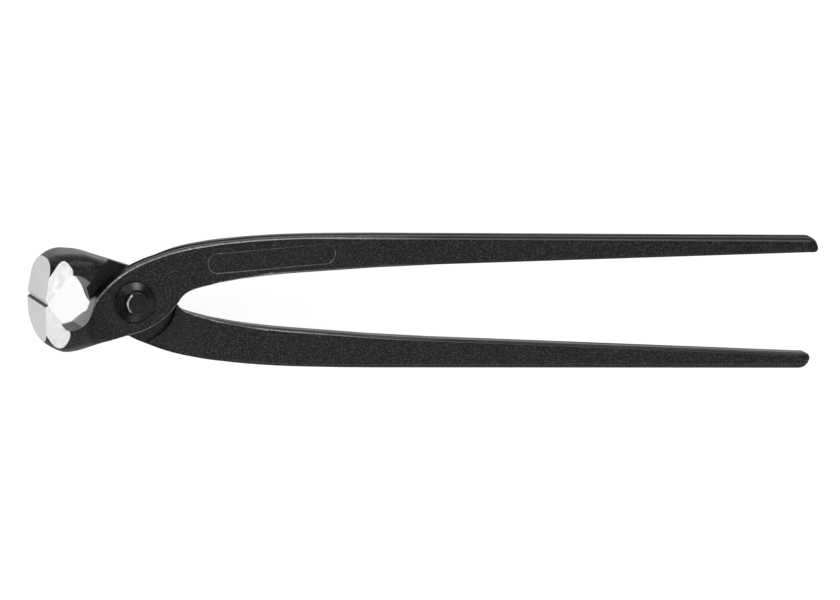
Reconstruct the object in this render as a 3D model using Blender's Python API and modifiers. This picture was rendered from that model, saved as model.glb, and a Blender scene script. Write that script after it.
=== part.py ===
"""Rebar tying pliers: end-cutting nippers of two crossed forged levers on one joint rivet.

The pliers lie flat. +X runs from the joint to the handle tips, +Y to the front lever's handle and
+Z up along the pivot axis. The origin is on that axis, on the flat end of the rivet's lower head.
Both levers are one form: the rear one is the front one turned half a turn about the X axis,
apart from the hand-dressed backs and mouths of the jaws.
All lengths are in metres.
"""
import math
from dataclasses import astuple, dataclass

import bmesh
import bpy
from mathutils import Matrix, Vector

# Whole tool
TIP_REACH = 0.2470            # pivot axis to the handle tips
EDGE_REACH = 0.0338           # pivot axis to the front of the cutting edges
LAP_GAP = 0.0003              # between the two joint cheeks
EDGE_GAP = 0.0020             # between the cutting edges, tool at rest

# Handle
HANDLE_SPREAD = 0.0235        # centre line to a handle's outer edge
HANDLE_THICKNESS = 0.0085
HANDLE_OUTER_ROUND = 0.0022   # of the outer edges, from the middle of the handle to its tip
HANDLE_INNER_ROUND = 0.0011
TIP_OUTER_ROUND = 0.0036
TIP_INNER_ROUND = 0.0014
TIP_FACE_ROUND = 0.0012

# Joint cheek
JOINT_RADIUS = 0.0112         # least distance from the pivot axis to the rim
CHEEK_FACE = 0.0055           # lap plane to a cheek's outer face
BACK_RIM_ROUND = 0.0011
BELLY_RIM_ROUND = 0.0004
BEARING_RADIUS = 0.0120       # raised disc that the two cheeks turn on
BEARING_RISE = 0.0005
SHOULDER_RADIUS = 0.0165      # foot of the jaw's shoulder, which the other cheek swings past
SHOULDER_DRAFT = 0.0033       # growth of that radius up to the head's side

# Jaw
HEAD_HALF_WIDTH = 0.0122      # lap plane to a flat side of the head
DOME_HEIGHT = 0.0173          # centre line to the crown of a jaw's back
MOUTH_DEPTH = 0.0091          # centre line to the floor of a jaw's hollow
MOUTH_ROUND = 0.0006
EDGE_LAND = 0.0007            # flat between the cutting edge's bevel and the front facet
BEVEL_RUN = 0.0075            # length of the ground bevel inside the mouth
BEVEL_ANGLE = math.radians(43.0)
FACET_LEAN = math.radians(6.1)
PETAL_DEPTH = 0.00055          # how far a ground side is below the head's side, at the edge
PETAL_ANGLE = math.radians(8.9)
PETAL_TILT = math.radians(5.2)
ROUND_POWER = 2.0             # of the curve of a rounding: an ellipse
CHAMFER_POWER = 1.25          # of the curve of a rounding that is nearly a chamfer
TRIM_X = 0.0168               # a point on the edge of the trimmed corner over the shoulder
TRIM_Y = 0.0143
TRIM_SIZE = 0.0120
TRIM_ANGLE = math.radians(38.0)
TRIM_HEADING = math.radians(-27.3)

# Joint rivet
SHANK_RADIUS = 0.0042
SHANK_CLEARANCE = 0.0003
RIVET_HEAD_RADIUS = 0.0071
RIVET_SEAT_DEPTH = 0.0005     # counterbore that the head's skirt sinks into
RIVET_SEAT_GAP = 0.0003
RIVET_SKIRT = 0.0004          # upright rim of the head above the cheek
RIVET_CONE = 0.0013
RIVET_BOSS = 0.0027
RIVET_BOSS_RADIUS = 0.0045
RIVET_BOSS_EDGE = 0.0002
RIVET_BOSS_DRAFT = 0.0006
LAP_HEIGHT = CHEEK_FACE + RIVET_SKIRT + RIVET_CONE + RIVET_BOSS

# Bare panel sunk into the front lever's handle. Each row: an end's round centre, as shares of
# TIP_REACH and HANDLE_SPREAD.
PANEL_ROUND = 0.0033
PANEL_DEPTH = 0.0004
PANEL_SHARES = ((0.118, 0.575), (0.275, 0.726))

CUT_OVERRUN = 0.0030          # how far each cutter passes the face that it cuts
HEAD_BLOCK = 2 * (EDGE_REACH + CUT_OVERRUN)
WELD = 0.000001

# Fineness of the faceted solids, as counts
CORNER_STEPS = 5
STEPS_PER_RUNG = 4
TIP_STEPS = 5
TURN_STEPS = 72
PANEL_STEPS = 14

# Handle edges, from the tip's rounding to the root. Each row: share of the way from the root to
# the tip, the back edge and the inner edge as shares of HANDLE_SPREAD, then the back edge's
# rounding as a share of HANDLE_OUTER_ROUND.
HANDLE_ROOT_SHARE = 2.73      # of JOINT_RADIUS
HANDLE_SHARES = (
    (1.000, 0.996, 0.769, 1.00),
    (0.786, 1.000, 0.706, 1.00),
    (0.554, 1.000, 0.634, 1.00),
    (0.305, 1.000, 0.542, 0.75),
    (0.144, 0.982, 0.446, 0.50),
    (0.068, 0.950, 0.383, 0.50),
    (0.000, 0.892, 0.292, 0.50),
)

# Joint cheek, from the handle's root to the mouth. Each row: back edge x and y and belly edge x
# and y, as shares of JOINT_RADIUS, then how far the rear face lies behind the lap plane, as a
# share of the handle's part behind it.
JOINT_SHARES = (
    (2.143, 1.786, 2.455, 0.545, 0.93),
    (1.518, 1.670, 1.875, 0.388, 0.72),
    (1.054, 1.549, 1.576, 0.214, 0.36),
    (0.616, 1.402, 1.357, -0.090, 0.00),
    (0.188, 1.232, 1.089, -0.411, 0.50),
    (-0.134, 1.071, 0.741, -0.692, 0.60),
    (-0.455, 0.866, 0.313, -0.911, 0.60),
    (-0.777, 0.607, -0.125, -1.045, 0.60),
    (-1.089, 0.268, -0.563, -1.179, 0.90),
)

# Jaw, from the root of the mouth to past the front facet. Each row: mouth edge and dome edge as
# shares of the jaw's length, the mouth edge's share of MOUTH_DEPTH, then the front and rear sides
# as shares of the way from the cheek's face to the head's side.
JAW_ROOT_SHARE = 1.286        # of JOINT_RADIUS
JAW_SHARES = (
    (0.000, -0.201, 0.011, 0.12, 0.37),
    (0.067, 0.021, 0.396, 0.31, 0.82),
    (0.165, 0.211, 0.703, 0.64, 1.00),
    (0.320, 0.397, 0.912, 0.91, 1.00),
    (0.515, 0.588, 1.000, 1.00, 1.00),
    (0.665, 0.773, 0.791, 1.00, 1.00),
    (0.778, 0.918, 0.264, 1.00, 1.00),
    (0.969, 1.036, 0.000, 1.00, 1.00),
    (1.088, 1.139, 0.000, 1.00, 1.00),
)

# Each jaw's back and mouth floor, dressed by hand, at the same places. Each row: the dome edge's
# share of DOME_HEIGHT, the fall and width of its rounding towards the cheek side and towards the
# lap side, as shares of DOME_HEIGHT and HEAD_HALF_WIDTH, then the fall and width of the mouth
# floor's rounding towards the lap side, as shares of MOUTH_DEPTH and HEAD_HALF_WIDTH.
FRONT_JAW_SHARES = (
    (0.835, 0.116, 0.16, 0.116, 0.25, 0.07, 0.05),
    (0.908, 0.173, 0.25, 0.173, 0.25, 0.50, 0.80),
    (0.968, 0.260, 0.41, 0.260, 0.37, 0.50, 0.98),
    (0.997, 0.347, 0.45, 0.347, 0.57, 0.36, 0.98),
    (0.986, 0.260, 0.37, 0.347, 0.66, 0.22, 0.90),
    (0.908, 0.260, 0.37, 0.376, 0.98, 0.12, 0.65),
    (0.803, 0.310, 0.45, 0.442, 1.43, 0.07, 0.05),
    (0.624, 0.347, 0.49, 0.442, 1.43, 0.07, 0.05),
    (0.460, 0.347, 0.49, 0.400, 1.43, 0.07, 0.05),
)
REAR_JAW_SHARES = (
    (0.835, 0.116, 0.16, 0.116, 0.25, 0.07, 0.05),
    (0.908, 0.173, 0.25, 0.173, 0.25, 0.08, 0.30),
    (0.968, 0.260, 0.41, 0.260, 0.37, 0.10, 0.60),
    (0.991, 0.347, 0.57, 0.347, 0.41, 0.16, 0.74),
    (0.994, 0.347, 0.66, 0.347, 0.41, 0.14, 0.74),
    (0.964, 0.434, 0.90, 0.325, 0.45, 0.12, 0.65),
    (0.873, 0.503, 0.98, 0.540, 0.62, 0.07, 0.05),
    (0.728, 0.503, 0.98, 0.560, 0.68, 0.07, 0.05),
    (0.578, 0.503, 0.98, 0.500, 0.68, 0.07, 0.05),
)


@dataclass
class Rung:
    """One cross-section of a lever, from its back edge to its belly edge.

    The edges are points in plan, and front and rear are the heights of its two faces. Each corner
    has an elliptical rounding: so far in from the edge, and so far down from the face.
    """
    back_x: float
    back_y: float
    belly_x: float
    belly_y: float
    front: float
    rear: float
    back_front_in: float
    back_front_down: float
    back_rear_in: float
    back_rear_down: float
    belly_front_in: float
    belly_front_down: float
    belly_rear_in: float
    belly_rear_down: float
    back_rear_power: float = ROUND_POWER

    @property
    def back(self):
        """The back edge in plan."""
        return Vector((self.back_x, self.back_y, 0))

    @property
    def belly(self):
        """The belly edge in plan."""
        return Vector((self.belly_x, self.belly_y, 0))


def mix(start, end, share):
    """The value at a share of the way from start to end."""
    return start + (end - start) * share


def handle_rungs():
    """Cross-sections of the handle, from the tip's rounding to the root."""
    root = HANDLE_ROOT_SHARE * JOINT_RADIUS
    end = TIP_REACH - TIP_OUTER_ROUND
    rear = CHEEK_FACE - HANDLE_THICKNESS
    rungs = []
    for along, back, inner, outer_round in HANDLE_SHARES:
        x = mix(root, end, along)
        rungs.append(Rung(x, back * HANDLE_SPREAD, x, inner * HANDLE_SPREAD, CHEEK_FACE, rear,
                          *([outer_round * HANDLE_OUTER_ROUND] * 4), *([HANDLE_INNER_ROUND] * 4)))
    return rungs


def joint_rungs():
    """Cross-sections of the joint cheek, from the handle's root to the mouth."""
    size = JOINT_RADIUS
    behind = CHEEK_FACE - HANDLE_THICKNESS
    return [Rung(back_x * size, back_y * size, belly_x * size, belly_y * size,
                 CHEEK_FACE, behind * rear, *([BACK_RIM_ROUND] * 4), *([BELLY_RIM_ROUND] * 4))
            for back_x, back_y, belly_x, belly_y, rear in JOINT_SHARES]


def jaw_rungs(own_shares):
    """Cross-sections of the jaw, from the root of the mouth to past the front facet."""
    root = JAW_ROOT_SHARE * JOINT_RADIUS
    rungs = []
    for row, own in zip(JAW_SHARES, own_shares):
        mouth_x, dome_x, mouth_y, front, rear = row
        dome_y, cheek_in, cheek_down, lap_in, lap_down, floor_in, floor_down = own
        rungs.append(Rung(-mix(root, EDGE_REACH, mouth_x), -mouth_y * MOUTH_DEPTH,
                          -mix(root, EDGE_REACH, dome_x), -dome_y * DOME_HEIGHT,
                          mix(CHEEK_FACE, HEAD_HALF_WIDTH, front),
                          -mix(CHEEK_FACE, HEAD_HALF_WIDTH, rear),
                          MOUTH_ROUND, MOUTH_ROUND,
                          floor_in * MOUTH_DEPTH, floor_down * HEAD_HALF_WIDTH,
                          cheek_in * DOME_HEIGHT, cheek_down * HEAD_HALF_WIDTH,
                          lap_in * DOME_HEIGHT, lap_down * HEAD_HALF_WIDTH,
                          CHAMFER_POWER))
    return rungs


def slope(rows, places, row, column):
    """Slope of one value at a rung: none beside a stretch where it stays level."""
    low = max(row - 1, 0)
    high = min(row + 1, len(rows) - 1)
    before, here, after = rows[low][column], rows[row][column], rows[high][column]
    if here in (before, after) and 0 < row < len(rows) - 1:
        return 0.0
    return (after - before) / (places[high] - places[low])


def smooth_rungs(rungs):
    """The rungs with more between them, on cubic curves through every one of their values."""
    rows = [astuple(rung) for rung in rungs]
    places = [0.0]
    for rung, other in zip(rungs, rungs[1:]):
        step = (other.back + other.belly - rung.back - rung.belly).length / 2
        places.append(places[-1] + step)
    out = []
    for i in range(len(rows) - 1):
        span = places[i + 1] - places[i]
        for step in range(STEPS_PER_RUNG):
            t = step / STEPS_PER_RUNG
            values = []
            for column, (start, end) in enumerate(zip(rows[i], rows[i + 1])):
                leave = slope(rows, places, i, column) * span
                arrive = slope(rows, places, i + 1, column) * span
                values.append(start * (2 * t ** 3 - 3 * t ** 2 + 1) + leave * (t ** 3 - 2 * t ** 2 + t)
                              + end * (3 * t ** 2 - 2 * t ** 3) + arrive * (t ** 3 - t ** 2))
            out.append(Rung(*values))
    out.append(rungs[-1])
    return out


def rounding(radius, distance):
    """How far a quarter round has fallen at a distance from the very end of the piece."""
    if distance >= radius:
        return 0.0
    return radius * (1 - math.sqrt(1 - (1 - distance / radius) ** 2))


def tip_rungs(first):
    """Cross-sections of the handle's rounded tip, from its very end to the first full one."""
    rungs = []
    for step in range(TIP_STEPS, 0, -1):
        turn = math.pi / 2 * step / TIP_STEPS
        x = TIP_REACH - TIP_OUTER_ROUND * (1 - math.sin(turn))
        outer = rounding(TIP_OUTER_ROUND, TIP_REACH - x)
        inner = rounding(TIP_INNER_ROUND, TIP_REACH - x)
        face = rounding(TIP_FACE_ROUND, TIP_REACH - x)
        rungs.append(Rung(x, first.back_y - outer, x, first.belly_y + inner,
                          first.front - face, first.rear + face, *([HANDLE_OUTER_ROUND] * 4),
                          *([HANDLE_INNER_ROUND] * 4)))
    return rungs


def section(rung):
    """Closed loop of points round a rung, with an elliptical arc at each of its four corners."""
    along = (rung.belly - rung.back).normalized()
    length = (rung.belly - rung.back).length
    height = rung.front - rung.rear
    front_fit = fit(length, rung.back_front_in, rung.belly_front_in)
    rear_fit = fit(length, rung.back_rear_in, rung.belly_rear_in)
    back_fit = fit(height, rung.back_front_down, rung.back_rear_down)
    belly_fit = fit(height, rung.belly_front_down, rung.belly_rear_down)
    corners = (
        (0, 1, rung.back_front_in * front_fit, rung.back_front_down * back_fit, ROUND_POWER),
        (1, 1, rung.belly_front_in * front_fit, rung.belly_front_down * belly_fit, ROUND_POWER),
        (1, -1, rung.belly_rear_in * rear_fit, rung.belly_rear_down * belly_fit, ROUND_POWER),
        (0, -1, rung.back_rear_in * rear_fit, rung.back_rear_down * back_fit,
         rung.back_rear_power),
    )
    points = []
    for corner, (at_belly, side, wide, down, power) in enumerate(corners):
        centre = length - wide if at_belly else wide
        level = rung.front - down if side > 0 else rung.rear + down
        for step in range(CORNER_STEPS + 1):
            turn = math.pi - math.pi / 2 * (corner + step / CORNER_STEPS)
            plan = rung.back + along * (centre + wide * bulge(math.cos(turn), power))
            points.append(plan + Vector((0, 0, level + down * bulge(math.sin(turn), power))))
    return points


def bulge(value, power):
    """A sine or cosine, bent so that a quarter circle becomes a curve of that power."""
    return math.copysign(abs(value) ** (2 / power), value)


def fit(room, one, other):
    """Share to which two facing roundings shrink so that they leave a little flat between them."""
    room_share = 0.98
    return min(1.0, room_share * room / (one + other))


def forging(name, own_shares):
    """Mesh of a forged lever: a loft through all its cross-sections, with both ends closed."""
    rungs = smooth_rungs(handle_rungs() + joint_rungs() + jaw_rungs(own_shares))
    rungs = tip_rungs(rungs[0]) + rungs
    mesh = bmesh.new()
    loops = [[mesh.verts.new(point) for point in section(rung)] for rung in rungs]
    for loop, other in zip(loops, loops[1:]):
        for i in range(len(loop)):
            mesh.faces.new((loop[i - 1], loop[i], other[i], other[i - 1]))
    mesh.faces.new(loops[0])
    mesh.faces.new(loops[-1])
    bmesh.ops.recalc_face_normals(mesh, faces=mesh.faces)
    data = bpy.data.meshes.new(name)
    mesh.to_mesh(data)
    mesh.free()
    return data


def collection(name):
    """A new collection in the scene."""
    group = bpy.data.collections.new(name)
    bpy.context.scene.collection.children.link(group)
    return group


def turned(name, profile, group):
    """A solid of revolution about Z. The profile runs down its outer side, top to bottom."""
    data = bpy.data.meshes.new(name)
    edges = [(i, i + 1) for i in range(len(profile) - 1)]
    data.from_pydata([(radius, 0, height) for radius, height in profile], edges, [])
    obj = bpy.data.objects.new(name, data)
    group.objects.link(obj)
    screw = obj.modifiers.new("turn", "SCREW")
    screw.steps = TURN_STEPS
    screw.render_steps = TURN_STEPS
    screw.use_merge_vertices = True
    screw.merge_threshold = WELD
    return obj


def prism(name, outline, bottom, top, group):
    """An upright prism on a flat outline, between two heights."""
    curve = bpy.data.curves.new(name, "CURVE")
    curve.dimensions = "2D"
    curve.fill_mode = "BOTH"
    curve.extrude = (top - bottom) / 2
    spline = curve.splines.new("POLY")
    spline.points.add(len(outline) - 1)
    spline.use_cyclic_u = True
    for point, (x, y) in zip(spline.points, outline):
        point.co = (x, y, 0, 1)
    source = bpy.data.objects.new(name + "_outline", curve)
    group.objects.link(source)
    evaluated = source.evaluated_get(bpy.context.evaluated_depsgraph_get())
    data = bpy.data.meshes.new_from_object(evaluated)
    bpy.data.objects.remove(source)
    mesh = bmesh.new()
    mesh.from_mesh(data)
    bmesh.ops.remove_doubles(mesh, verts=mesh.verts, dist=WELD)
    bmesh.ops.translate(mesh, verts=mesh.verts, vec=(0, 0, (top + bottom) / 2))
    bmesh.ops.recalc_face_normals(mesh, faces=mesh.faces)
    mesh.to_mesh(data)
    mesh.free()
    obj = bpy.data.objects.new(name, data)
    group.objects.link(obj)
    return obj


def grinding_block(name, point, outward, size, group):
    """A cube with one face centred on the point, which takes away what lies beyond that face."""
    mesh = bmesh.new()
    bmesh.ops.create_cube(mesh, size=size)
    bmesh.ops.translate(mesh, verts=mesh.verts, vec=(0, 0, size / 2))
    turn = Vector(outward).to_track_quat("Z", "Y").to_matrix().to_4x4()
    bmesh.ops.transform(mesh, verts=mesh.verts, matrix=Matrix.Translation(point) @ turn)
    data = bpy.data.meshes.new(name)
    mesh.to_mesh(data)
    mesh.free()
    obj = bpy.data.objects.new(name, data)
    group.objects.link(obj)
    return obj


def lap_cutter(name, group):
    """What the other lever's cheek swings through: bearing disc, relief and shoulder wall."""
    face = LAP_GAP / 2
    depth = HEAD_HALF_WIDTH + CUT_OVERRUN
    flare = SHOULDER_DRAFT * depth / HEAD_HALF_WIDTH
    profile = (
        (0, face),
        (BEARING_RADIUS, face),
        (BEARING_RADIUS, face + BEARING_RISE),
        (SHOULDER_RADIUS, face + BEARING_RISE),
        (SHOULDER_RADIUS, 0),
        (SHOULDER_RADIUS + flare, -depth),
        (0, -depth),
    )
    return turned(name, profile, group)


def rivet_bore(name, group):
    """The hole for the rivet's shank and the counterbore for its head."""
    top = CHEEK_FACE + CUT_OVERRUN
    floor = CHEEK_FACE - RIVET_SEAT_DEPTH
    seat = RIVET_HEAD_RADIUS + RIVET_SEAT_GAP
    bore = SHANK_RADIUS + SHANK_CLEARANCE
    profile = ((0, top), (seat, top), (seat, floor), (bore, floor), (bore, -CUT_OVERRUN), (0, -CUT_OVERRUN))
    return turned(name, profile, group)


def mouth_grinding(name, group):
    """The ground bevel behind the cutting edge, and the land before it."""
    land = -EDGE_GAP / 2
    edge = -EDGE_REACH - land * math.tan(FACET_LEAN) + EDGE_LAND
    inner = edge + BEVEL_RUN * math.cos(BEVEL_ANGLE)
    deep = land - BEVEL_RUN * math.sin(BEVEL_ANGLE)
    front = -EDGE_REACH - CUT_OVERRUN
    outline = ((front, land), (edge, land), (inner, deep), (inner, CUT_OVERRUN), (front, CUT_OVERRUN))
    side = HEAD_HALF_WIDTH + CUT_OVERRUN
    return prism(name, outline, -side, side, group)


def front_facet(name, group):
    """The flat ground across the front of the jaw, leaning back from the cutting edge."""
    outward = (-1, -math.tan(FACET_LEAN), 0)
    return grinding_block(name, (-EDGE_REACH, 0, 0), outward, HEAD_BLOCK, group)


def petal(name, side, group):
    """The flat ground on one side of the jaw. Side is 1 at the front and -1 at the rear."""
    outward = (-math.tan(PETAL_ANGLE), -math.tan(PETAL_TILT), side)
    point = (-EDGE_REACH, 0, side * (HEAD_HALF_WIDTH - PETAL_DEPTH))
    return grinding_block(name, point, outward, HEAD_BLOCK, group)


def shoulder_trim(name, group):
    """The sloping corner between the jaw's lap side and the shoulder wall."""
    lean = math.sin(TRIM_ANGLE)
    outward = (lean * math.cos(TRIM_HEADING), lean * math.sin(TRIM_HEADING), -math.cos(TRIM_ANGLE))
    return grinding_block(name, (-TRIM_X, -TRIM_Y, -HEAD_HALF_WIDTH), outward, TRIM_SIZE, group)


def panel(name, group):
    """The sunk panel along the handle, with round ends."""
    ends = [Vector((x * TIP_REACH, y * HANDLE_SPREAD)) for x, y in PANEL_SHARES]
    along = ends[1] - ends[0]
    heading = math.atan2(along.y, along.x)
    outline = []
    for centre, start in ((ends[1], -math.pi / 2), (ends[0], math.pi / 2)):
        for step in range(PANEL_STEPS + 1):
            turn = heading + start + math.pi * step / PANEL_STEPS
            outline.append(centre + PANEL_ROUND * Vector((math.cos(turn), math.sin(turn))))
    return prism(name, outline, CHEEK_FACE - PANEL_DEPTH, CHEEK_FACE + CUT_OVERRUN, group)


def material(name, colour, metallic, roughness):
    """A plain material with one colour."""
    made = bpy.data.materials.new(name)
    made.use_nodes = True
    shader = made.node_tree.nodes["Principled BSDF"]
    shader.inputs["Base Color"].default_value = (*colour, 1)
    shader.inputs["Metallic"].default_value = metallic
    shader.inputs["Roughness"].default_value = roughness
    made.diffuse_color = (*colour, 1)
    return made


def finish(obj, look):
    """Shade a piece and give it its material."""
    obj.data.shade_smooth()
    obj.data.set_sharp_from_angle(angle=math.radians(35))
    obj.data.materials.clear()
    obj.data.materials.append(look)


def lever(name, data, turn, look, has_panel, parts, cutters):
    """A lever at the pivot, cut from its forging. Turn is its turn about the X axis."""
    obj = bpy.data.objects.new(name, data)
    parts.objects.link(obj)
    obj.location.z = LAP_HEIGHT
    obj.rotation_euler.x = turn
    tools = [
        petal(name + "_front_petal", 1, cutters),
        petal(name + "_rear_petal", -1, cutters),
        front_facet(name + "_facet", cutters),
        shoulder_trim(name + "_trim", cutters),
        mouth_grinding(name + "_mouth", cutters),
        lap_cutter(name + "_lap", cutters),
        rivet_bore(name + "_bore", cutters),
    ]
    if has_panel:
        tools.append(panel(name + "_panel", cutters))
    for tool in tools:
        tool.parent = obj
        tool.hide_render = True
        tool.display_type = "WIRE"
        cut = obj.modifiers.new(tool.name, "BOOLEAN")
        cut.object = tool
        cut.operation = "DIFFERENCE"
        cut.solver = "EXACT"
    finish(obj, look)
    return obj


def rivet(name, look, parts):
    """The joint rivet: a shank through both cheeks and a formed head on each of them."""
    under = CHEEK_FACE - RIVET_SEAT_DEPTH + RIVET_SEAT_GAP
    rim = CHEEK_FACE + RIVET_SKIRT
    foot = rim + RIVET_CONE
    top = foot + RIVET_BOSS
    head = (
        (0, top),
        (RIVET_BOSS_RADIUS - RIVET_BOSS_DRAFT - RIVET_BOSS_EDGE, top),
        (RIVET_BOSS_RADIUS - RIVET_BOSS_DRAFT, top - RIVET_BOSS_EDGE),
        (RIVET_BOSS_RADIUS, foot),
        (RIVET_HEAD_RADIUS, rim),
        (RIVET_HEAD_RADIUS, under),
        (SHANK_RADIUS, under),
    )
    other_head = tuple((radius, -height) for radius, height in reversed(head))
    obj = turned(name, head + other_head, parts)
    obj.location.z = LAP_HEIGHT
    finish(obj, look)
    return obj


def main():
    """Build the pliers in an empty scene."""
    for obj in list(bpy.data.objects):
        bpy.data.objects.remove(obj)
    parts = collection("rebar_tying_pliers")
    cutters = collection("cutters")
    front = forging("front_forging", FRONT_JAW_SHARES)
    rear = forging("rear_forging", REAR_JAW_SHARES)
    front_steel = material("front_lever_steel", (0.022, 0.022, 0.024), 0.8, 0.48)
    rear_steel = material("rear_lever_steel", (0.021, 0.021, 0.023), 0.8, 0.50)
    rivet_steel = material("joint_rivet_steel", (0.020, 0.020, 0.022), 0.8, 0.40)
    lever("front_lever", front, 0.0, front_steel, True, parts, cutters)
    lever("rear_lever", rear, math.pi, rear_steel, False, parts, cutters)
    rivet("joint_rivet", rivet_steel, parts)


if __name__ == "__main__":
    main()
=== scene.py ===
"""Dressed model of a pair of rebar tying pliers: two black forged levers on one joint rivet.

The pliers lie flat on a pale floor, seen from above and a little from the jaws. All lengths are in
metres unless a name ends in mm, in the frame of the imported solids: +X to the handle tips, +Z up
along the pivot axis. All angles are in degrees.
"""

import logging
import math
from dataclasses import dataclass, field
from enum import Enum
from typing import Callable

import bpy
from mathutils import Matrix, Vector


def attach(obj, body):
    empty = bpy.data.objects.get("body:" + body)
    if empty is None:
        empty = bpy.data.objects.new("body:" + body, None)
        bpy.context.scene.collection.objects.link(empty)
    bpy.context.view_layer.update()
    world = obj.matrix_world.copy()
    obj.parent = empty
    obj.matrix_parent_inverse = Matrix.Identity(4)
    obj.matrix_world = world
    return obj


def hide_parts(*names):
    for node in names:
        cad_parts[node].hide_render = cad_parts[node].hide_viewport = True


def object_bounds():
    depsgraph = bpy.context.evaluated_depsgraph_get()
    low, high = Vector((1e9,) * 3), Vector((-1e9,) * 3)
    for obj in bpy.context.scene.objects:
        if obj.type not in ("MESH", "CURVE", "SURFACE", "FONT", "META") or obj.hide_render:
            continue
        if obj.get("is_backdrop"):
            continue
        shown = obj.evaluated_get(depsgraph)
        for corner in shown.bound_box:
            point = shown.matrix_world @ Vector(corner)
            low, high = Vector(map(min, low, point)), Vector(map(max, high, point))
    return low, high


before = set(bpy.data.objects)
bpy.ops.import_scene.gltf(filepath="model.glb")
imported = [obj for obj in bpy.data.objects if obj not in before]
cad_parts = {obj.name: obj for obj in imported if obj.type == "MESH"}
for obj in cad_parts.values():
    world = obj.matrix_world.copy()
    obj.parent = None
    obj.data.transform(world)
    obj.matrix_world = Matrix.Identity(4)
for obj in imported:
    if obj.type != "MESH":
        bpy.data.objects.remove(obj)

LOG = logging.getLogger("pliers")
MERGE_LENGTH = 0.000002       # points of a solid that are closer than this are one point
FLAT_ANGLE = 0.5              # triangles that turn less than this are one flat face
SMOOTH_ANGLE = 35.0           # edges of a forging that turn less than this are shaded smooth
BROKEN_ANGLE = 30.0           # edges of a forging that turn more than this are broken
BROKEN_SEGMENTS = 2
FORGING_WEIGHT = 90           # how far large faces rule the shading, in percent
ROUND_ANGLE = 50.0            # edges of the rivet that turn less than this are shaded smooth
ROUND_WEIGHT = 100            # how far its large faces rule the shading, in percent


class Finish(Enum):
    """Material slots of a forged lever, in their order."""
    FORGED = 0
    GROUND = 1
    MILLED = 2
    # Rubbed edges, and rims with a painted highlight
    RUBBED_AND_HIGHLIT = 3
    # A strip of painted shade on the flank
    PAINTED_SHADE = 4


def linear(code: str) -> tuple[float, float, float, float]:
    """Turn an sRGB hex colour into a linear colour.

    Args:
        code: Six hex digits after a number sign.

    Returns:
        Linear red, green, blue and an alpha of one.
    """
    parts = [int(code[i:i + 2], 16) / 255 for i in (1, 3, 5)]
    red, green, blue = [c / 12.92 if c <= 0.04045 else ((c + 0.055) / 1.055) ** 2.4 for c in parts]
    return red, green, blue, 1.0


def add_node(tree: bpy.types.NodeTree, kind: str, links: dict | None = None,
             values: dict | None = None, **settings: object) -> bpy.types.Node:
    """Add a node with its settings, input values and input links.

    Args:
        tree: The node tree that gets the node.
        kind: The node's type name.
        links: Output sockets by the name or number of the input that each one feeds.
        values: Fixed values by the name or number of their input.
        **settings: Properties of the node itself.

    Returns:
        The new node.
    """
    node = tree.nodes.new(kind)
    for name, value in settings.items():
        setattr(node, name, value)
    for socket, value in (values or {}).items():
        node.inputs[socket].default_value = value
    for socket, source in (links or {}).items():
        tree.links.new(source, node.inputs[socket])
    return node


def clear_selection() -> None:
    """Leave edit mode and deselect every object."""
    if bpy.context.object is not None and bpy.context.object.mode != "OBJECT":
        bpy.ops.object.mode_set(mode="OBJECT")
    bpy.ops.object.select_all(action="DESELECT")


def make_active(obj: bpy.types.Object) -> None:
    """Select one object alone and make it the active one.

    Args:
        obj: The object.
    """
    clear_selection()
    obj.select_set(True)
    bpy.context.view_layer.objects.active = obj


def clear_mesh(mode: str) -> None:
    """Deselect the active mesh and leave it in object mode, ready for picking in code.

    Args:
        mode: What is picked next: VERT, EDGE or FACE.
    """
    bpy.ops.object.mode_set(mode="EDIT")
    bpy.ops.mesh.select_mode(type=mode)
    bpy.ops.mesh.select_all(action="DESELECT")
    bpy.ops.object.mode_set(mode="OBJECT")


def copy_solid(node: str, name: str) -> bpy.types.Object:
    """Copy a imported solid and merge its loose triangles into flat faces.

    Args:
        node: The node that the piece is made from.
        name: The new piece's name.

    Returns:
        The copy, with its place in its mesh.
    """
    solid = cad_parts[node]
    piece = solid.copy()
    piece.data = solid.data.copy()
    piece.parent = None
    piece.name = name
    bpy.context.scene.collection.objects.link(piece)
    make_active(piece)
    bpy.ops.object.mode_set(mode="EDIT")
    bpy.ops.mesh.select_all(action="SELECT")
    bpy.ops.mesh.remove_doubles(threshold=MERGE_LENGTH)
    bpy.ops.mesh.customdata_custom_splitnormals_clear()
    bpy.ops.mesh.dissolve_limited(angle_limit=math.radians(FLAT_ANGLE))
    bpy.ops.object.mode_set(mode="OBJECT")
    return piece


def even_shading(piece: bpy.types.Object, weight: int) -> None:
    """Let a piece's large faces rule its shading, so that they look flat up to their edges.

    Args:
        piece: The active piece.
        weight: How far the large faces rule, in percent.
    """
    weighted = piece.modifiers.new("even_shading", "WEIGHTED_NORMAL")
    weighted.keep_sharp = True
    weighted.weight = weight
    bpy.ops.object.modifier_apply(modifier="even_shading")


def soften(piece: bpy.types.Object, width: float, rubbed: int) -> None:
    """Break a piece's sharp edges and even out the shading of what lies between them.

    Args:
        piece: The piece.
        width: Width of the broken edge.
        rubbed: Material slot of the broken edges.
    """
    make_active(piece)
    bpy.ops.object.shade_smooth_by_angle(angle=math.radians(SMOOTH_ANGLE))
    bevel = piece.modifiers.new("broken_edges", "BEVEL")
    bevel.limit_method = "ANGLE"
    bevel.angle_limit = math.radians(BROKEN_ANGLE)
    bevel.width = width
    bevel.segments = BROKEN_SEGMENTS
    bevel.material = rubbed
    bpy.ops.object.modifier_apply(modifier="broken_edges")
    even_shading(piece, FORGING_WEIGHT)


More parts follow.
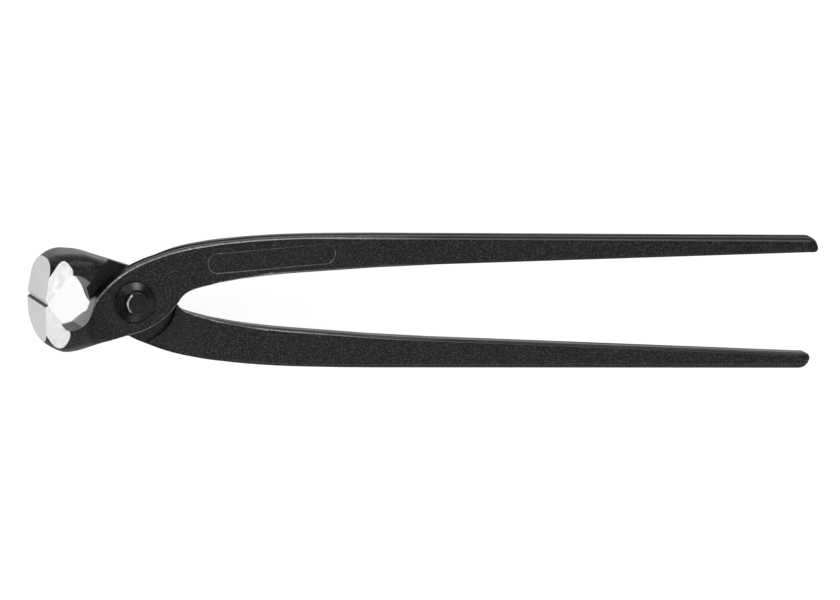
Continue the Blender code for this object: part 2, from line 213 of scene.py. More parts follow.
def smooth_curve(points: list[Vector], steps: int) -> list[Vector]:
    """Draw a smooth curve through points.

    Args:
        points: The points.
        steps: Pieces between one point and the next.

    Returns:
        Closely set points on the curve.
    """
    padded = [2 * points[0] - points[1], *points, 2 * points[-1] - points[-2]]
    curve = []
    for before, start, end, after in zip(padded, padded[1:], padded[2:], padded[3:]):
        for step in range(steps):
            t = step / steps
            curve.append(0.5 * (2 * start + (end - before) * t
                                + (2 * before - 5 * start + 4 * end - after) * t ** 2
                                + (3 * start - before - 3 * end + after) * t ** 3))
    return [*curve, points[-1]]


def point_along(curve: list[Vector], share: float) -> Vector:
    """Find the point at a share of a curve's length.

    Args:
        curve: Closely set points on the curve.
        share: Share of the curve's length, from 0 to 1.

    Returns:
        The point.
    """
    lengths = [(end - start).length for start, end in zip(curve, curve[1:])]
    left = share * sum(lengths)
    for start, end, length in zip(curve, curve[1:], lengths):
        if left <= length:
            return start.lerp(end, left / length)
        left -= length
    return curve[-1].copy()


@dataclass(frozen=True)
class BlackForging:
    """Drop-forged carbon steel, shot-blasted, then black oxidised and lightly oiled.

    To the eye it is a near-black skin with a soft sheen, and the pitted grain that the blasting
    leaves breaks each highlight into speckle. The index starts from an oil film's 1.47 and is
    matched to the object.
    """
    name: str = "black_oxidised_forging"
    deep: str = "#000000"            # pits of the grain
    pale: str = "#4e4e4f"            # tops of the grain
    roughness: float = 0.36
    ior: float = 1.39
    grain_mm: float = 0.42           # blasting grit leaves 0.1 to 0.2, drawn coarser so it shows
    grain_depth_mm: float = 0.035
    grain_swing: float = 4.0         # the noise spans about a quarter of its range
    pits_to: float = 0.5             # noise up to here is pit
    tops_from: float = 0.72          # noise from here is top
    oil_patch_mm: float = 11.11      # patches where the oil lies thicker

    def build(self) -> bpy.types.Material:
        """Make the material.

        Returns:
            The material.
        """
        made = bpy.data.materials.new(self.name)
        made.use_nodes = True
        tree = made.node_tree
        shader = tree.nodes["Principled BSDF"]
        shader.inputs["IOR"].default_value = self.ior
        place = add_node(tree, "ShaderNodeTexCoord")
        grain = add_node(tree, "ShaderNodeTexNoise", {"Vector": place.outputs["Object"]},
                         {"Scale": 1000 / self.grain_mm, "Detail": 2.0, "Roughness": 0.6})
        oil = add_node(tree, "ShaderNodeTexNoise", {"Vector": place.outputs["Object"]},
                       {"Scale": 1000 / self.oil_patch_mm, "Detail": 4.0, "Roughness": 0.6})
        spread = add_node(tree, "ShaderNodeMapRange", {"Value": grain.outputs["Fac"]},
                          {"From Min": self.pits_to, "From Max": self.tops_from})
        tone = add_node(tree, "ShaderNodeMix", {0: spread.outputs["Result"]},
                        {6: linear(self.deep), 7: linear(self.pale)}, data_type="RGBA")
        tree.links.new(tone.outputs[2], shader.inputs["Base Color"])
        rough = add_node(tree, "ShaderNodeMapRange", {"Value": oil.outputs["Fac"]},
                         {"From Min": 0.3, "From Max": 0.7, "To Min": self.roughness - 0.04,
                          "To Max": self.roughness + 0.05})
        tree.links.new(rough.outputs["Result"], shader.inputs["Roughness"])
        bump = add_node(tree, "ShaderNodeBump", {"Height": grain.outputs["Fac"]},
                        {"Strength": 1.0,
                         "Distance": self.grain_depth_mm / 1000 * self.grain_swing})
        tree.links.new(bump.outputs["Normal"], shader.inputs["Normal"])
        return made


@dataclass(frozen=True)
class GroundSteel:
    """Bare tool steel, surface ground or milled.

    To the eye it is a pale grey metal, and its fine parallel scratches blur what it mirrors.
    """
    name: str = "ground_tool_steel"
    pale: str = "#dadad9"
    deep: str = "#cbcbca"
    roughness: float = 0.32
    scratch_mm: float = 0.35         # a fine wheel leaves about 0.03, drawn coarser so it shows
    scratch_depth_mm: float = 0.01
    scratch_run: tuple[float, float, float] = (0.12, 0.12, 1.0)  # eight times as long as wide
    mottle_mm: float = 1.11          # cloudy patches where the wheel dwelt

    def build(self) -> bpy.types.Material:
        """Make the material.

        Returns:
            The material.
        """
        made = bpy.data.materials.new(self.name)
        made.use_nodes = True
        tree = made.node_tree
        shader = tree.nodes["Principled BSDF"]
        shader.inputs["Metallic"].default_value = 1.0
        place = add_node(tree, "ShaderNodeTexCoord")
        stretch = add_node(tree, "ShaderNodeMapping", {"Vector": place.outputs["Object"]},
                           {"Scale": self.scratch_run})
        scratch = add_node(tree, "ShaderNodeTexNoise", {"Vector": stretch.outputs["Vector"]},
                           {"Scale": 1000 / self.scratch_mm, "Detail": 3.0, "Roughness": 0.7})
        mottle = add_node(tree, "ShaderNodeTexNoise", {"Vector": place.outputs["Object"]},
                          {"Scale": 1000 / self.mottle_mm, "Detail": 2.0, "Roughness": 0.5})
        tone = add_node(tree, "ShaderNodeMix", {0: mottle.outputs["Fac"]},
                        {6: linear(self.deep), 7: linear(self.pale)}, data_type="RGBA")
        tree.links.new(tone.outputs[2], shader.inputs["Base Color"])
        rough = add_node(tree, "ShaderNodeMapRange", {"Value": scratch.outputs["Fac"]},
                         {"From Min": 0.25, "From Max": 0.75, "To Min": self.roughness - 0.06,
                          "To Max": self.roughness + 0.08})
        tree.links.new(rough.outputs["Result"], shader.inputs["Roughness"])
        bump = add_node(tree, "ShaderNodeBump", {"Height": scratch.outputs["Fac"]},
                        {"Strength": 0.25, "Distance": self.scratch_depth_mm / 1000})
        tree.links.new(bump.outputs["Normal"], shader.inputs["Normal"])
        return made


@dataclass(frozen=True)
class RubbedOxideAndHighlight:
    """The oxide of an edge that hands and work have rubbed thin, so grey steel shows through it,
    and a painted highlight.

    On every broken edge it is wear. On the rims that are picked by their tilt it is also a painted
    highlight, a patchy light line bright at the joint and fading out along the handles. It is half
    metal, because film and bare steel lie side by side.
    """
    name: str = "rubbed_oxide_and_painted_highlight"
    pale: str = "#b4b4b2"            # bare steel
    deep: str = "#5a5a59"            # thin oxide
    faded: str = "#2e2e2e"           # sound oxide, past the end of the fade
    roughness: float = 0.36
    metallic: float = 0.5
    patch_mm: float = 0.8            # rubbed patches are about as long as the rim is wide
    fade_from: float = 0.02          # where the line starts to fade, along X
    fade_to: float = 0.11            # where it has faded out

    def build(self) -> bpy.types.Material:
        """Make the material.

        Returns:
            The material.
        """
        made = bpy.data.materials.new(self.name)
        made.use_nodes = True
        tree = made.node_tree
        shader = tree.nodes["Principled BSDF"]
        shader.inputs["Metallic"].default_value = self.metallic
        shader.inputs["Roughness"].default_value = self.roughness
        place = add_node(tree, "ShaderNodeTexCoord")
        patch = add_node(tree, "ShaderNodeTexNoise", {"Vector": place.outputs["Object"]},
                         {"Scale": 1000 / self.patch_mm, "Detail": 4.0, "Roughness": 0.7})
        spread = add_node(tree, "ShaderNodeMapRange", {"Value": patch.outputs["Fac"]},
                          {"From Min": 0.3, "From Max": 0.65})
        tone = add_node(tree, "ShaderNodeMix", {0: spread.outputs["Result"]},
                        {6: linear(self.deep), 7: linear(self.pale)}, data_type="RGBA")
        parts = add_node(tree, "ShaderNodeSeparateXYZ", {0: place.outputs["Object"]})
        fade = add_node(tree, "ShaderNodeMapRange", {"Value": parts.outputs["X"]},
                        {"From Min": self.fade_from, "From Max": self.fade_to})
        # Its pale tone is wear on broken edges and a painted highlight on the rims
        wear_and_highlight = add_node(tree, "ShaderNodeMix", {0: fade.outputs["Result"], 6: tone.outputs[2]},
                        {7: linear(self.faded)}, data_type="RGBA")
        tree.links.new(wear_and_highlight.outputs[2], shader.inputs["Base Color"])
        return made


@dataclass(frozen=True)
class PaintedShadeFlank:
    """A strip of painted shade along the upper flank: matt, near black and bumpy.

    It mirrors almost nothing, so it draws the dark line below each bright rim as painted shade.
    """
    name: str = "painted_shade_flank"
    colour: str = "#121212"
    roughness: float = 0.85
    specular: float = 0.15
    strip_bump_mm: float = 0.4             # size of the roughness and bump noise
    strip_bump_depth_mm: float = 0.1

    def build(self) -> bpy.types.Material:
        """Make the material.

        Returns:
            The material.
        """
        made = bpy.data.materials.new(self.name)
        made.use_nodes = True
        tree = made.node_tree
        shader = tree.nodes["Principled BSDF"]
        shader.inputs["Base Color"].default_value = linear(self.colour)
        shader.inputs["Specular IOR Level"].default_value = self.specular
        place = add_node(tree, "ShaderNodeTexCoord")
        strip_bump = add_node(tree, "ShaderNodeTexNoise", {"Vector": place.outputs["Object"]},
                        {"Scale": 1000 / self.strip_bump_mm, "Detail": 3.0, "Roughness": 0.6})
        rough = add_node(tree, "ShaderNodeMapRange", {"Value": strip_bump.outputs["Fac"]},
                         {"To Min": self.roughness - 0.1, "To Max": self.roughness + 0.1})
        tree.links.new(rough.outputs["Result"], shader.inputs["Roughness"])
        bump = add_node(tree, "ShaderNodeBump", {"Height": strip_bump.outputs["Fac"]},
                        {"Strength": 0.6, "Distance": self.strip_bump_depth_mm / 1000})
        tree.links.new(bump.outputs["Normal"], shader.inputs["Normal"])
        return made


@dataclass
class Lever:
    """One forged lever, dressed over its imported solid.

    Side is 1 for the front lever, whose jaw is below, and -1 for the rear one.
    """
    node: str
    body: str
    side: int
    finishes: tuple[bpy.types.Material, ...]
    edge_width: float = 0.00016      # of the broken edges
    near: float = 0.00005            # how near a point lies to the place it is found by

    # Ground faces of the jaw, by the angles that they were ground at
    facet_lean: float = 6.1
    petal_angle: float = 8.9
    petal_tilt: float = 5.2
    bevel_angle: float = 43.0
    bevel_match: float = 0.999       # cosine of the turn within which a face is the bevel
    ground_turn: float = 1.0         # turn within which a face is a ground one
    ground_end: float = -0.02        # ground faces lie in front of this
    ground_merge: float = 5.0        # parts of a ground face turn less than this
    ground_least: float = 0.00003    # a facet or petal has more area than this, in square metres

    # Closed lips
    land_back: float = -0.032993     # back corners of the cutting edge's land, in the solid
    land_half_gap: float = 0.001
    lip_front: float = -0.0327       # the same corners, drawn forward
    lip_half_gap: float = 0.00012
    lip_root: float = -0.0315        # where the bevel behind the lip is its own shape again
    lap: float = 0.01                # a point higher than this is in the front half of the jaw

    # Outlines of the ground faces
    outlines: tuple[tuple[tuple[float, float, float], ...], ...] = ()
    outline_cuts: int = 3
    curve_steps: int = 12

    # Milled part of the mouth
    mouth_from: float = -0.0198      # along X, from the jaws
    mouth_end: float = -0.0135
    mouth_to: float = 0.0            # across, where the upright step of the mouth ends
    mouth_half: float = 0.0098
    mouth_reach: tuple[float, float] = (-0.03, -0.01)
    mouth_upright: float = 0.35      # faces of the mouth rise or fall less than this
    step_lean: float = -0.3          # the mouth's step faces the jaws more than this

    # Inner edge at the handle's root
    ease_from: tuple[float, float] = (0.0275, 0.0061)
    ease_to: tuple[float, float] = (0.03058, 0.00686)
    ease_ends: tuple[float, float] = (0.02, 1.02)      # shares of the way between the two
    ease_gaps: tuple[float, float] = (-0.00013, 0.0013)  # eased points lie this far off the edge
    ease_share: float = 0.45         # how far the rounding narrows
    ease_rise: float = 1.6           # how soon it has narrowed
    ease_depth: float = 0.00011      # how far the edge itself moves

    # Strip of painted shade along the flank
    shade_strip_low: float = 0.0103
    shade_strip_high: float = 0.0132
    shade_strip_from: float = -0.002
    flank_upright: float = 0.3       # faces of the flank rise or fall less than this
    flank_side: float = 0.2          # and face +Y more than this

    # Rims with a painted highlight in the rubbed-edge finish
    rim_from: float = 0.0
    rim_to: float = 0.25
    rim_start: float = -0.0165       # least sum of X and Y
    rim_tilts: tuple[float, float] = (8.0, 62.0)
    belly_tilts: tuple[float, float] = (15.0, 75.0)
    belly_from: float = -0.012
    panel_slopes: tuple[float, float] = (0.1, 0.98)    # rise of the recess's chamfered rim

    # Stadium-shaped recess
    panel_ends: tuple[tuple[float, float], ...] = ()
    panel_round: float = 0.0033
    panel_chamfer: float = 0.0003

    piece: bpy.types.Object = field(init=False, default=None)

    def build(self) -> bpy.types.Object:
        """Copy the solid, draw its finer forms and dress it.

        Returns:
            The finished piece, riding on its body.
        """
        self.piece = copy_solid(self.node, self.node + "_forging")
        self.part_faces()
        self.close_lip()
        self.ease_inner_edge()
        if self.panel_ends:
            self.chamfer_panel()
        self.mark_faces()
        self.shape_outlines()
        soften(self.piece, self.edge_width, Finish.RUBBED_AND_HIGHLIT.value)
        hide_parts(self.node)
        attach(self.piece, self.body)
        LOG.info("%s: %d faces", self.piece.name, len(self.piece.data.polygons))
        return self.piece

    def bevel_way(self) -> Vector:
        """Find which way the ground bevel inside the mouth faces."""
        slope = math.radians(self.bevel_angle)
        return Vector((math.sin(slope), self.side * math.cos(slope), 0.0))

    def ground_ways(self) -> list[Vector]:
        """List which way each ground face of the jaw faces.

        Returns:
            The ways of the front facet, the bevel, the upper petal and the lower petal.
        """
        facet = Vector((-1.0, -self.side * math.tan(math.radians(self.facet_lean)), 0.0))
        lean = math.tan(math.radians(self.petal_angle))
        tilt = math.tan(math.radians(self.petal_tilt))
        petals = [Vector((-lean, -self.side * tilt, up)) for up in (1.0, -1.0)]
        return [facet.normalized(), self.bevel_way(), *(petal.normalized() for petal in petals)]

    def part_faces(self) -> None:
        """Split the faces behind the lip, round the milled mouth and along the strip of painted
        shade.
        """
        bevel = self.bevel_way()
        self.part_where(lambda face: face.normal.dot(bevel) > self.bevel_match,
                        (self.lip_root, 0.0, 0.0), "X")
        self.part_where(self.near_mouth, (self.mouth_from, 0.0, 0.0), "X")
        if self.side > 0:
            self.part_where(self.near_mouth, (0.0, self.mouth_to, 0.0), "Y")
        for height in (self.shade_strip_low, self.shade_strip_high):
            self.part_where(self.on_flank, (0.0, 0.0, height), "Z")

    def near_mouth(self, face: bpy.types.MeshPolygon) -> bool:
        """Tell whether a face stands upright round the mouth."""
        start, end = self.mouth_reach
        return abs(face.normal.z) < self.mouth_upright and start < face.center.x < end

    def on_flank(self, face: bpy.types.MeshPolygon) -> bool:
        """Tell whether a face stands upright along the upper side of the root or the handle."""
        upright = abs(face.normal.z) < self.flank_upright and face.normal.y > self.flank_side
        return upright and face.center.x > self.shade_strip_from

    def part_where(self, wanted: Callable[[bpy.types.MeshPolygon], bool],
                   point: tuple[float, float, float], axis: str) -> None:
        """Cut some of the faces with a plane.

        Args:
            wanted: Tells which faces the plane cuts.
            point: A point on the plane.
            axis: The axis that the plane is square to.
        """
        clear_mesh("FACE")
        for face in self.piece.data.polygons:
            face.select = wanted(face)
        bpy.ops.object.mode_set(mode="EDIT")
        bpy.ops.mesh.bisect(plane_co=point, plane_no=[float(axis == name) for name in "XYZ"])
        bpy.ops.object.mode_set(mode="OBJECT")

    def close_lip(self) -> None:
        """Draw the back corners of the edge's land forward to the line where the jaws meet."""
        lean = math.tan(math.radians(self.petal_angle))
        tilt = math.tan(math.radians(self.petal_tilt))
        for vertex in self.piece.data.vertices:
            back = abs(vertex.co.x - self.land_back) < self.near
            if back and abs(abs(vertex.co.y) - self.land_half_gap) < self.near:
                along = self.lip_front - vertex.co.x
                across = self.land_half_gap - self.lip_half_gap
                rise = lean * along + tilt * across
                vertex.co.z += rise if vertex.co.z > self.lap else -rise
                vertex.co.x = self.lip_front
                vertex.co.y = -self.side * self.lip_half_gap

    def ease_inner_edge(self) -> None:
        """Take the corner out of the inner edge where the root's rounding grows to the handle's."""
        start, end = Vector(self.ease_from), Vector(self.ease_to)
        for vertex in self.piece.data.vertices:
            along = (vertex.co.x - start.x) / (end.x - start.x)
            gap = self.side * vertex.co.y - start.lerp(end, along).y
            beside = self.ease_ends[0] < along < self.ease_ends[1]
            if beside and self.ease_gaps[0] < gap < self.ease_gaps[1]:
                share = self.ease_share * min(1.0, self.ease_rise * along)
                vertex.co.y -= self.side * (gap * share + self.ease_depth * along)

    def mark_faces(self) -> None:
        """Give each face its finish, found by its normal and place, and join the ground faces."""
        mesh = self.piece.data
        mesh.materials.clear()
        for finish in self.finishes:
            mesh.materials.append(finish)
        ways = self.ground_ways()
        close = math.cos(math.radians(self.ground_turn))
        clear_mesh("FACE")
        for face in mesh.polygons:
            finish = Finish.FORGED
            if face.center.x < self.ground_end and any(face.normal.dot(way) > close
                                                       for way in ways):
                finish = Finish.GROUND
            elif abs(face.normal.z) < self.mouth_upright and self.in_mouth(face.center,
                                                                           face.normal):
                finish = Finish.MILLED
            # Rims get a painted highlight in the rubbed-edge finish
            elif self.on_highlight_rim(face.center, face.normal):
                finish = Finish.RUBBED_AND_HIGHLIT
            # The flank strip is painted shade
            elif self.on_flank(face) and self.shade_strip_low < face.center.z < self.shade_strip_high:
                finish = Finish.PAINTED_SHADE
            face.material_index = finish.value
            face.select = finish is Finish.GROUND
        bpy.ops.object.mode_set(mode="EDIT")
        bpy.ops.mesh.dissolve_limited(angle_limit=math.radians(self.ground_merge))
        bpy.ops.object.mode_set(mode="OBJECT")

    def in_mouth(self, point: Vector, normal: Vector) -> bool:
        """Tell whether an upright face belongs to the milled part of the mouth.

        Args:
            point: The face's middle.
            normal: The way that the face faces.

        Returns:
            Whether it does.
        """
        beside = abs(point.y) > self.mouth_half
        if not self.mouth_from < point.x < self.mouth_end or beside:
            return False
        inward = normal.x * point.x + normal.y * point.y < 0.0
        step = normal.x < self.step_lean and self.side * point.y < self.side * self.mouth_to
        return inward or step

    def panel_gap(self, point: Vector) -> float:
        """Measure how far a point lies from the outline of the stadium-shaped recess.

        Args:
            point: The point.

        Returns:
            The distance, or infinity for a lever with no recess.
        """
        if not self.panel_ends:
            return math.inf
        start, end = (Vector(place) for place in self.panel_ends)
        along = (point.xy - start).dot(end - start) / (end - start).length_squared
        nearest = start.lerp(end, max(0.0, min(1.0, along)))
        return abs((point.xy - nearest).length - self.panel_round)

    def chamfer_panel(self) -> None:
        """Chamfer the rim of the recess, which catches a thin line of light."""
        mesh = self.piece.data
        face_height = max(v.co.z for v in mesh.vertices if self.panel_gap(v.co) < self.near)
        clear_mesh("EDGE")
        for edge in mesh.edges:
            ends = [mesh.vertices[number].co for number in edge.vertices]
            edge.select = all(self.panel_gap(end) < self.near and face_height - end.z < self.near
                              for end in ends)
        bpy.ops.object.mode_set(mode="EDIT")
        bpy.ops.mesh.bevel(offset=self.panel_chamfer, segments=1)
        bpy.ops.object.mode_set(mode="OBJECT")

    def on_highlight_rim(self, point: Vector, normal: Vector) -> bool:
        """Tell whether a face lies on a rim of the cheek, root or recess, which gets a painted
        highlight in the rubbed-edge finish.

        Args:
            point: The face's middle.
            normal: The way that the face faces.

        Returns:
            Whether it does.
        """
        low, high = self.panel_slopes
        if self.panel_gap(point) < 2 * self.panel_chamfer and low < normal.z < high:
            return True
        if not self.rim_from < point.x < self.rim_to or point.x + point.y < self.rim_start:
            return False
        steep = math.degrees(math.acos(max(-1.0, min(1.0, normal.z))))
        if normal.y > self.flank_side:
            return self.rim_tilts[0] < steep < self.rim_tilts[1]
        belly = self.belly_tilts[0] < steep < self.belly_tilts[1]
        return self.side > 0 and belly and normal.x > 0.0 and point.x > self.belly_from

    def shape_outlines(self) -> None:
        """Draw the outlines of the ground faces to the leaf shapes that the wheel leaves."""
        for outline in self.outlines:
            self.shape_outline([Vector(point) / 1000 for point in outline])

    def shape_outline(self, points: list[Vector]) -> None:
        """Spread one stretch of a ground face's outline evenly along a smooth curve.

        Args:
            points: The curve's points, from one end of the stretch to the other.
        """
        mesh = self.piece.data
        face = min((f for f in mesh.polygons if f.material_index == Finish.GROUND.value
                    and f.area > self.ground_least),
                   key=lambda f: sum(abs((point - mesh.vertices[f.vertices[0]].co).dot(f.normal))
                                     for point in points))
        number = face.index
        run = self.outline_run(number, points)
        keys = {tuple(sorted(pair)) for pair in zip(run, run[1:])}
        make_active(self.piece)
        clear_mesh("EDGE")
        for edge in mesh.edges:
            edge.select = edge.key in keys
        bpy.ops.object.mode_set(mode="EDIT")
        bpy.ops.mesh.subdivide(number_cuts=self.outline_cuts)
        bpy.ops.object.mode_set(mode="OBJECT")
        face = mesh.polygons[number]
        run = self.outline_run(number, points)
        shares = [0.0]
        for first, second in zip(run, run[1:]):
            shares.append(shares[-1] + (mesh.vertices[first].co - mesh.vertices[second].co).length)
        curve = smooth_curve(points, self.curve_steps)
        anchor, normal = mesh.vertices[face.vertices[0]].co.copy(), face.normal.copy()
        crown = max(vertex.co.z for vertex in mesh.vertices)
        for index, share in zip(run, shares):
            spot = point_along(curve, share / shares[-1])
            spot -= normal * (spot - anchor).dot(normal)
            spot.z = min(spot.z, crown)
            mesh.vertices[index].co = spot
        LOG.info("%s: outline of %d points", self.piece.name, len(run))

    def outline_run(self, number: int, points: list[Vector]) -> list[int]:
        """Find the vertices of a face's outline between the two ends of a curve.

        Args:
            number: The face.
            points: The curve's points.

        Returns:
            The vertices in order, by the way round that passes nearest to the curve's middle.
        """
        mesh = self.piece.data
        loop = list(mesh.polygons[number].vertices)
        first, last = (min(loop, key=lambda i: (mesh.vertices[i].co - end).length)
                       for end in (points[0], points[-1]))
        start = loop.index(first)
        ahead = loop[start:] + loop[:start]
        back = [ahead[0]] + ahead[:0:-1]
        ways = [way[:way.index(last) + 1] for way in (ahead, back)]
        middle = points[len(points) // 2]
        return min(ways, key=lambda way: min((mesh.vertices[i].co - middle).length for i in way))


@dataclass
class JointRivet:
    """The rivet: a shank through both cheeks, a skirted cone and a chamfered boss at each end.

    Heights are above the lap, and the lower half is the upper one turned over.
    """
    finishes: tuple[bpy.types.Material, bpy.types.Material]
    lap_height: float = 0.0099
    boss_top: float = 0.0099
    boss_foot: float = 0.0072
    boss_radius: float = 0.0045
    chamfer_inner: float = 0.0035
    chamfer_outer: float = 0.00402
    chamfer_depth: float = 0.0006
    chamfer_rise: float = 0.3        # a face of the chamfer rises more than this
    highlight_share: float = 0.58         # how far round towards the jaws the chamfer gets bare steel as a painted highlight
    root_round: float = 0.00014
    rim_height: float = 0.0059
    head_radius: float = 0.0071
    rim_round: float = 0.00016
    under: float = 0.0053
    shank_radius: float = 0.0042
    steps: int = 128

    def half_profile(self) -> list[tuple[float, float]]:
        """List radius and height from the boss's flat top down to the shank.

        Returns:
            The corners of the upper half of the profile.
        """
        return [
            (self.chamfer_inner, self.boss_top),
            (self.chamfer_outer, self.boss_top - self.chamfer_depth),
            (self.boss_radius, self.boss_foot + self.root_round),
            (self.boss_radius + self.root_round, self.boss_foot - self.root_round / 2),
            (self.head_radius - self.rim_round, self.rim_height + self.rim_round / 2),
            (self.head_radius, self.rim_height - self.rim_round),
            (self.head_radius, self.under),
            (self.shank_radius, self.under),
        ]

    def draw_round(self) -> bpy.types.Object:
        """Draw a disc down the profile from corner to corner, which leaves a closed round piece.

        Returns:
            The piece, with its place in its mesh.
        """
        half = self.half_profile()
        profile = half + [(radius, -height) for radius, height in reversed(half)]
        radius, height = profile[0]
        clear_selection()
        bpy.ops.mesh.primitive_circle_add(vertices=self.steps, radius=radius, fill_type="NGON",
                                          location=(0.0, 0.0, self.lap_height + height))
        piece = bpy.context.object
        piece.name = "joint_rivet_formed"
        bpy.ops.object.transform_apply(location=True, rotation=True, scale=True)
        bpy.ops.object.mode_set(mode="EDIT")
        bpy.ops.mesh.select_mode(type="FACE")
        bpy.ops.mesh.select_all(action="SELECT")
        for next_radius, next_height in profile[1:]:
            growth = next_radius / radius
            bpy.ops.mesh.extrude_region_move(
                TRANSFORM_OT_translate={"value": (0.0, 0.0, next_height - height)})
            bpy.ops.transform.resize(value=(growth, growth, 1.0),
                                     center_override=(0.0, 0.0, self.lap_height + next_height))
            radius, height = next_radius, next_height
        bpy.ops.mesh.select_all(action="SELECT")
        bpy.ops.mesh.normals_make_consistent(inside=False)
        bpy.ops.object.mode_set(mode="OBJECT")
        return piece

    def mark_faces(self, mesh: bpy.types.Mesh) -> None:
        """Paint a highlight on the chamfer's jaw side in bare ground steel, and give all else the
        black one.

        Args:
            mesh: The rivet's mesh.
        """
        for finish in self.finishes:
            mesh.materials.append(finish)
        for face in mesh.polygons:
            out = math.hypot(face.center.x, face.center.y)
            sloped = abs(face.normal.z) > self.chamfer_rise
            chamfer = self.chamfer_inner < out < self.chamfer_outer and sloped
            # The chamfer's jaw side takes bare steel as a painted highlight
            wear_and_highlight = chamfer and face.center.x < -self.highlight_share * out
            face.material_index = 1 if wear_and_highlight else 0

    def build(self) -> bpy.types.Object:
        """Make the rivet and dress it.

        Returns:
            The finished piece, riding on the rear lever.
        """
        piece = self.draw_round()
        self.mark_faces(piece.data)
        make_active(piece)
        bpy.ops.object.shade_smooth_by_angle(angle=math.radians(ROUND_ANGLE))
        even_shading(piece, ROUND_WEIGHT)
        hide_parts("joint_rivet")
        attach(piece, "rear_lever")
        LOG.info("%s: %d faces", piece.name, len(piece.data.polygons))
        return piece


# Points along the outlines of the ground faces, in millimetres: for each lever the upper petal
# first, and for the rear lever then the upper end of its front facet.
FRONT_OUTLINES = (
    ((-32.64, -10.87, 20.74), (-31.75, -12.1, 20.8), (-30.72, -13.4, 20.83),
     (-29.21, -14.76, 20.92), (-27.58, -15.21, 21.14), (-26.12, -14.52, 21.43),
     (-25.04, -12.81, 21.75), (-24.5, -10.93, 22.01), (-24.75, -9.3, 22.1),
     (-25.93, -8.76, 21.99)),
)
REAR_OUTLINES = (
    ((-32.84, 8.98, 20.88), (-32.3, 9.9, 20.9), (-31.42, 11.3, 20.89), (-30.12, 13.41, 20.9),
     (-29.22, 14.54, 20.94), (-28.2, 15.19, 21.04), (-27.15, 14.95, 21.23), (-26.2, 14.18, 21.45),
     (-24.94, 12.48, 21.8), (-24.66, 11.3, 21.96), (-24.61, 10.34, 22.05)),
    ((-32.184, 15.12, 14.55), (-32.218, 14.8, 16.6), (-32.282, 14.2, 18.3),
     (-32.368, 13.4, 19.7), (-32.475, 12.4, 20.6), (-32.603, 11.2, 21.05), (-32.72, 10.1, 21.1),
     (-32.84, 8.98, 20.88)),
)
PANEL_ENDS = ((0.029146, 0.0135125), (0.067925, 0.017061))


@dataclass(frozen=True)
class Lamp:
    """One square soft panel, by the way to it, its radiance, distance and side."""
    name: str
    way: tuple[float, float, float]
    radiance: float
    side: float
    distance: float = 1.5


LAMPS = (
    Lamp("over_panel", (-0.14, 0.0, 0.99), 3.0, 0.5),
    Lamp("jaw_panel", (-0.14, -0.34, 0.93), 2.1, 0.5),
    Lamp("back_panel", (0.29, 0.68, 0.67), 9.0, 0.5),
    Lamp("left_back_panel", (-0.42, 0.7, 0.5), 7.0, 0.5),
    Lamp("left_panel", (-0.92, -0.17, 0.3), 5.0, 0.5),
    Lamp("front_panel", (0.25, -0.6, 0.76), 3.0, 0.6),
    Lamp("low_front_panel", (0.29, -0.85, 0.43), 1.4, 0.6),
    Lamp("right_panel", (0.7, -0.4, 0.6), 2.9, 0.6),
    Lamp("low_right_panel", (0.93, -0.17, 0.33), 0.4, 0.7),
)


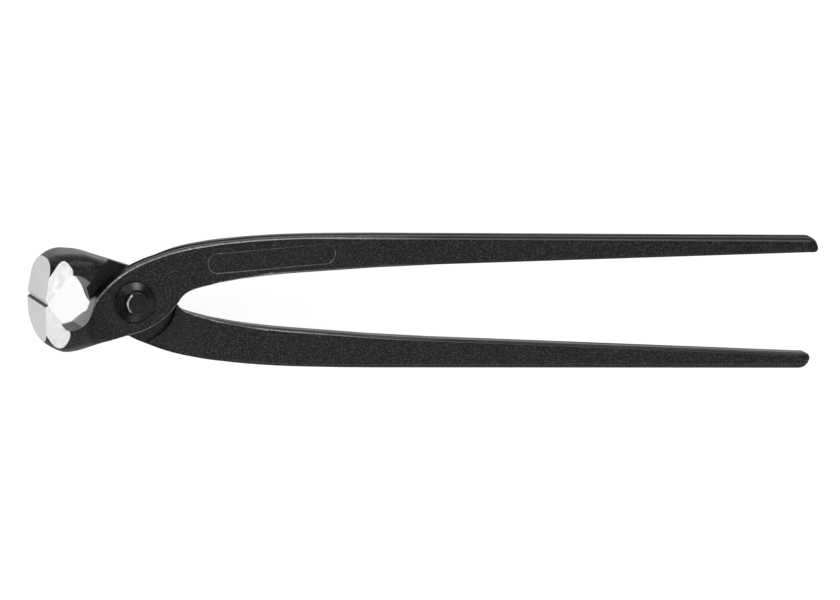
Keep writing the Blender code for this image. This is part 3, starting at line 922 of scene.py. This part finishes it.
@dataclass
class Studio:
    """Pale floor, soft lights and the camera.

    The camera's aim and directions are fitted to the photograph. Its lens is very long, because
    the photograph shows almost no perspective.
    """
    distance: float = 8.0
    aim: tuple[float, float, float] = (0.1045766, 0.0000172, 0.0097246)
    toward: tuple[float, float, float] = (-0.29301, 0.167944, 0.941244)
    upward: tuple[float, float, float] = (-0.002901, 0.984291, -0.176528)
    lens_mm: float = 989.781
    sensor_mm: float = 36.0
    view_end: float = 100.0
    floor_half: float = 3.0
    floor_middle: float = 0.1        # along X, under the middle of the pliers
    floor_gap: float = 0.0002        # under the pliers' lowest point
    floor_glow: float = 0.93         # as the camera sees the floor, where one is white
    mirrored_glow: float = 0.77      # as the steel mirrors it
    floor_colour: str = "#898989"    # what the lamps light, which keeps the shadow
    floor_roughness: float = 0.9

    def build(self) -> None:
        """Make the floor, the world, the lights and the camera."""
        self.add_floor()
        self.add_world()
        for lamp in LAMPS:
            self.add_lamp(lamp)
        self.add_camera()

    def add_floor(self) -> None:
        """Lay the floor just under the pliers, pale to the eye and to what mirrors it."""
        clear_selection()
        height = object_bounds()[0].z - self.floor_gap
        bpy.ops.mesh.primitive_plane_add(size=2 * self.floor_half,
                                         location=(self.floor_middle, 0, height))
        floor = bpy.context.object
        floor.name = "floor"
        made = bpy.data.materials.new("white_floor_paint")
        made.use_nodes = True
        tree = made.node_tree
        shader = tree.nodes["Principled BSDF"]
        shader.inputs["Base Color"].default_value = linear(self.floor_colour)
        shader.inputs["Roughness"].default_value = self.floor_roughness
        shader.inputs["Specular IOR Level"].default_value = 0.0
        rays = add_node(tree, "ShaderNodeLightPath")
        mirrored = add_node(tree, "ShaderNodeMath", {0: rays.outputs["Is Glossy Ray"]},
                            {1: self.mirrored_glow}, operation="MULTIPLY")
        strength = add_node(tree, "ShaderNodeMath",
                            {0: rays.outputs["Is Camera Ray"], 2: mirrored.outputs[0]},
                            {1: self.floor_glow}, operation="MULTIPLY_ADD")
        shader.inputs["Emission Color"].default_value = linear("#ffffff")
        tree.links.new(strength.outputs[0], shader.inputs["Emission Strength"])
        floor.data.materials.append(made)
        floor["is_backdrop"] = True

    def add_world(self) -> None:
        """Leave the room dark, so that only the panels and the floor light the pliers."""
        world = bpy.data.worlds.new("studio_room")
        world.use_nodes = True
        world.node_tree.nodes["Background"].inputs["Strength"].default_value = 0.0
        bpy.context.scene.world = world

    def add_lamp(self, panel: Lamp) -> None:
        """Hang a square soft panel that faces the pliers.

        Args:
            panel: The panel.
        """
        lamp = bpy.data.lights.new(panel.name, "AREA")
        lamp.size = panel.side
        lamp.energy = panel.radiance * math.pi * panel.side ** 2
        obj = bpy.data.objects.new(panel.name, lamp)
        bpy.context.scene.collection.objects.link(obj)
        way = Vector(panel.way).normalized()
        obj.location = way * panel.distance
        obj.rotation_euler = (-way).to_track_quat("-Z", "Y").to_euler()
        obj.visible_camera = False

    def add_camera(self) -> None:
        """Place the long-lens camera at the photograph's angle."""
        data = bpy.data.cameras.new("camera")
        data.lens = self.lens_mm
        data.sensor_width = self.sensor_mm
        data.clip_end = self.view_end
        camera = bpy.data.objects.new("camera", data)
        bpy.context.scene.collection.objects.link(camera)
        back = Vector(self.toward).normalized()
        right = Vector(self.upward).cross(back).normalized()
        up = back.cross(right)
        turn = Matrix((right, up, back)).transposed().to_4x4()
        camera.matrix_world = Matrix.Translation(Vector(self.aim) + back * self.distance) @ turn
        bpy.context.scene.camera = camera


def main() -> None:
    """Build every piece in order and report it."""
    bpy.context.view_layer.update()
    bpy.context.scene.view_settings.view_transform = "Standard"
    ground = GroundSteel().build()
    milled = GroundSteel(name="milled_tool_steel", pale="#9c9c9a", deep="#8b8b89", roughness=0.42)
    finishes = (BlackForging().build(), ground, milled.build(), RubbedOxideAndHighlight().build(),
                PaintedShadeFlank().build())
    Lever("front_lever", "front_lever", 1, finishes, mouth_to=0.0029, rim_from=-0.0165,
          outlines=FRONT_OUTLINES, panel_ends=PANEL_ENDS).build()
    Lever("rear_lever", "rear_lever", -1, finishes, mouth_to=0.0098, shade_strip_high=0.0118,
          outlines=REAR_OUTLINES).build()
    # The rivet is cold formed, so its grain is shallower and its film mirrors a little more
    formed = BlackForging(name="black_oxidised_rivet", pale="#404041", roughness=0.34, ior=1.5,
                          grain_depth_mm=0.008)
    # Bare ground steel paints a highlight on the jaw side of the rivet's chamfer
    JointRivet((formed.build(), ground)).build()
    Studio().build()


if __name__ == "__main__":
    logging.basicConfig(level=logging.INFO, format="%(message)s")
    main()
